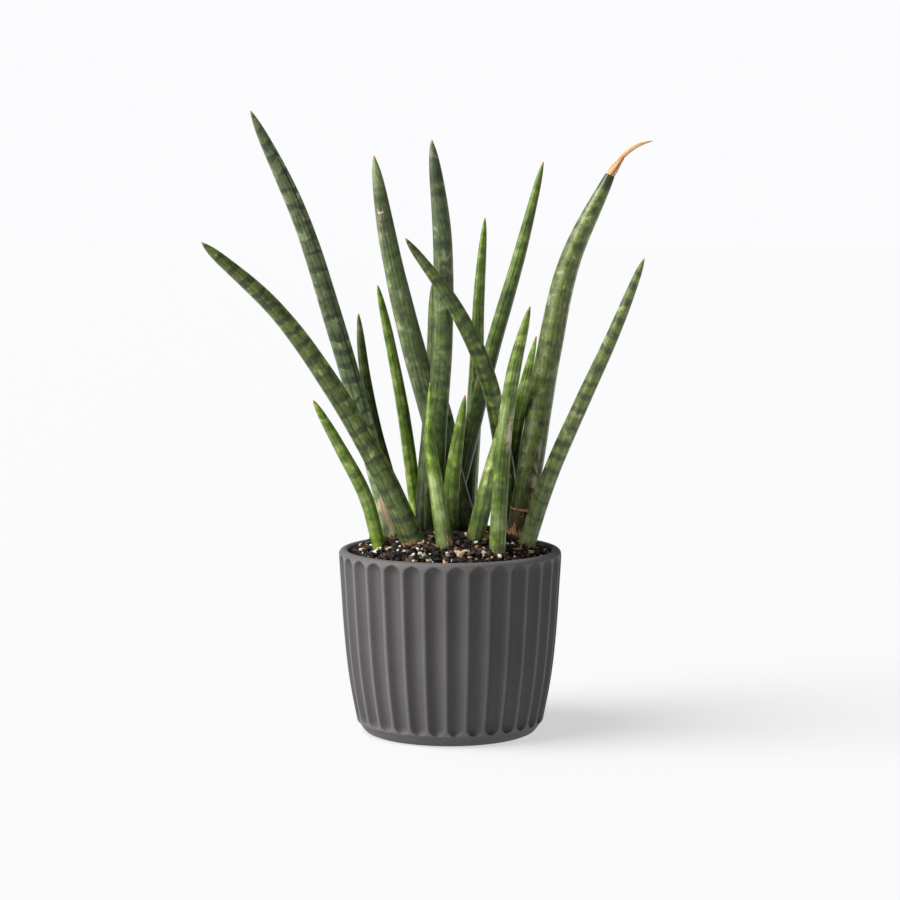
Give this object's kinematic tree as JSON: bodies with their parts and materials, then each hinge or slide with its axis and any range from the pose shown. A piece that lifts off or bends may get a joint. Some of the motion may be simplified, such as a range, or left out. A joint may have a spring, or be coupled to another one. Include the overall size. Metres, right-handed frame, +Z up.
{
  "type": "potted cylindrical snake plant",
  "caption": "Cylindrical snake plant: round tapering banded leaves rising from heaped potting mix in a fluted dark-grey pot.",
  "frame": {"origin": "middle of the pot's foot, on the surface it stands on", "axes": "+Z up along the pot's axis; -Y towards the side that the picture shows; +X to that view's right"},
  "size_m": [0.295, 0.15, 0.4162],
  "materials": {
    "pot_ceramic": "matte",
    "potting_mix": "matte",
    "leaf_grey_green": "satin",
    "leaf_dark_green": "satin",
    "leaf_bright_green": "satin",
    "dried_leaf": "matte"
  },
  "bodies": {
    "root": {"dried_tip": "dried_leaf", "leaf_behind_centre": "leaf_dark_green", "leaf_bright_centre_left": "leaf_bright_green", "leaf_bright_front": "leaf_bright_green", "leaf_crossing": "leaf_grey_green", "leaf_dark_right": "leaf_dark_green", "leaf_far_left": "leaf_grey_green", "leaf_hidden_centre": "leaf_dark_green", "leaf_right": "leaf_grey_green", "leaf_short_behind": "leaf_bright_green", "leaf_short_right": "leaf_bright_green", "leaf_small_front": "leaf_bright_green", "leaf_small_front_right": "leaf_bright_green", "leaf_small_left": "leaf_grey_green", "leaf_tall_centre": "leaf_grey_green", "leaf_tall_grey": "leaf_grey_green", "leaf_tall_left": "leaf_grey_green", "leaf_thick_right": "leaf_grey_green", "leaf_thin_behind": "leaf_dark_green", "leaf_thin_centre": "leaf_bright_green", "leaf_thin_dark_left": "leaf_dark_green", "pot": "pot_ceramic", "soil": "potting_mix"}
  },
  "joints": []
}
